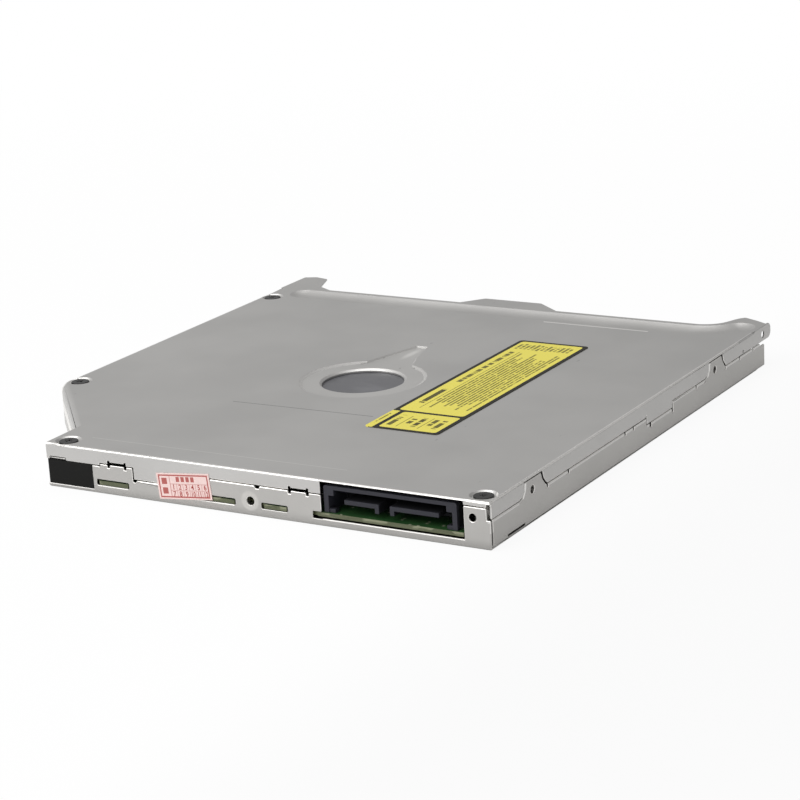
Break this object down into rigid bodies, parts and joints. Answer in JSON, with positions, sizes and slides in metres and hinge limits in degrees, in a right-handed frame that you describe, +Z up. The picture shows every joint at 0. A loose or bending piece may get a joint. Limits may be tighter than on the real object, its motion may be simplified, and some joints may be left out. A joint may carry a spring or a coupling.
{
  "type": "internal dvd writer",
  "caption": "Slim internal slot-loading DVD writer in a pressed steel case, with a rear plug connector and a tilting spindle and pickup unit inside.",
  "frame": {"origin": "centre of the overall box on the bottom face", "axes": "+Z up through the cover, +Y towards the disc slot, +X to the right when the rear connector faces the viewer"},
  "size_m": [0.128, 0.1376, 0.0096],
  "materials": {
    "cover_steel": "satin zinc-plated sheet",
    "case_steel": "satin zinc-plated sheet",
    "dark_film": "smooth dark film",
    "black_screw": "black zinc",
    "black_plastic": "moulded, fine grain",
    "yellow_label": "printed film",
    "white_sticker": "printed paper",
    "green_board": "solder mask",
    "plated_steel": "plated",
    "black_chip": "moulded",
    "cream_plastic": "moulded",
    "connector_plastic": "moulded",
    "gold_contact": "gold-plated",
    "cast_frame": "die-cast",
    "polished_steel": "ground",
    "spring_steel": "plain",
    "cast_metal": "die-cast",
    "clear_lens": "polished",
    "white_plastic": "moulded",
    "motor_steel": "plated can",
    "copper_winding": "enamelled wire",
    "black_rubber": "matte",
    "brass_worm": "turned",
    "cable_film": "amber film"
  },
  "bodies": {
    "base": {"top_cover": "cover_steel", "hub_film": "dark_film", "cover_screws": "black_screw", "bottom_case": "case_steel", "corner_block": "black_plastic", "top_label": "yellow_label", "date_sticker": "white_sticker", "main_board": "green_board", "board_standoffs": "plated_steel", "board_screws": "plated_steel", "board_chips": "black_chip", "cable_sockets": "cream_plastic", "detect_switches": "black_plastic", "connector_housing": "connector_plastic", "connector_contacts": "gold_contact", "hinge_supports": "black_plastic", "gear_studs": "plated_steel", "loading_motor": "motor_steel", "motor_cradle": "black_plastic", "lever_studs": "plated_steel", "lever_springs": "spring_steel", "front_guide": "black_plastic", "side_guide": "black_plastic", "pickup_cable": "cable_film"},
    "traverse": {"traverse_frame": "cast_frame", "guide_rods": "polished_steel", "rod_clips": "spring_steel", "feed_motor": "motor_steel", "spindle_base": "plated_steel", "spindle_stator": "copper_winding"},
    "spindle": {"turntable": "plated_steel", "grip_ring": "black_rubber", "centring_hub": "black_plastic", "hub_claws": "white_plastic"},
    "pickup": {"pickup_sled": "cast_metal", "pickup_shield": "plated_steel", "screw_follower": "white_plastic"},
    "lens_unit": {"lens_holder": "black_plastic", "lens": "clear_lens"},
    "feed_screw_body": {"feed_screw": "polished_steel"},
    "slider": {"cam_slider": "white_plastic"},
    "reduction": {"reduction_gear": "white_plastic"},
    "wheel": {"worm_wheel": "white_plastic"},
    "worm_shaft": {"worm": "brass_worm"},
    "rear_arm": {"rear_lever": "plated_steel", "rear_lever_post": "white_plastic"},
    "side_arm": {"side_lever": "plated_steel", "side_lever_post": "white_plastic"}
  },
  "joints": [
    {"name": "cam_slide", "type": "slide", "parent": "base", "child": "slider", "axis": [0.7071, 0.7071, 0], "range_m": [0, 0.012]},
    {"name": "traverse_lift", "type": "hinge", "parent": "base", "child": "traverse", "pos_m": [-0.05007, 0.04242, 0.0036], "axis": [-0.7071, -0.7071, 0], "range_deg": [0, 1.16]},
    {"name": "reduction_turn", "type": "hinge", "parent": "base", "child": "reduction", "pos_m": [0.02516, -0.03281, 0.002], "axis": [0, 0, 1], "range_deg": [-172, 0]},
    {"name": "wheel_turn", "type": "hinge", "parent": "base", "child": "wheel", "pos_m": [0.03506, -0.04271, 0.0035], "axis": [0, 0, 1], "range_deg": [0, 631]},
    {"name": "worm_turn", "type": "hinge", "parent": "base", "child": "worm_shaft", "pos_m": [0.03506, -0.05171, 0.0039], "axis": [1, 0, 0], "range_deg": [0, 18910]},
    {"name": "spindle_turn", "type": "hinge", "parent": "traverse", "child": "spindle", "pos_m": [-0.001, -0.00665, 0.00259], "axis": [0.0143, -0.0143, 0.9998], "continuous": true},
    {"name": "pickup_feed", "type": "slide", "parent": "traverse", "child": "pickup", "axis": [-0.707, 0.707, 0.0202], "range_m": [0, 0.034]},
    {"name": "feed_screw_turn", "type": "hinge", "parent": "traverse", "child": "feed_screw_body", "pos_m": [-0.01515, 0.03578, 0.003], "axis": [-0.707, 0.707, 0.0202], "range_deg": [0, 4081]},
    {"name": "lens_focus", "type": "slide", "parent": "pickup", "child": "lens_unit", "axis": [0.0143, -0.0143, 0.9998], "range_m": [-0.00035, 0.00035], "stiffness_N_per_m": 20},
    {"name": "rear_lever_swing", "type": "hinge", "parent": "base", "child": "rear_arm", "pos_m": [-0.014, -0.05775, 0.0044], "axis": [0, 0, -1], "range_deg": [0, 60], "stiffness_Nm_per_rad": 0.002},
    {"name": "side_lever_swing", "type": "hinge", "parent": "base", "child": "side_arm", "pos_m": [0.0575, 0.01525, 0.0044], "axis": [0, 0, 1], "range_deg": [0, 60], "stiffness_Nm_per_rad": 0.002}
  ],
  "couplings": [
    {"joint": "traverse_lift", "follows": "cam_slide", "rad_per_m": 1.6871},
    {"joint": "reduction_turn", "follows": "cam_slide", "rad_per_m": -250},
    {"joint": "wheel_turn", "follows": "cam_slide", "rad_per_m": 916.67},
    {"joint": "worm_turn", "follows": "cam_slide", "rad_per_m": 27500},
    {"joint": "feed_screw_turn", "follows": "pickup_feed", "rad_per_m": 2094.4}
  ]
}
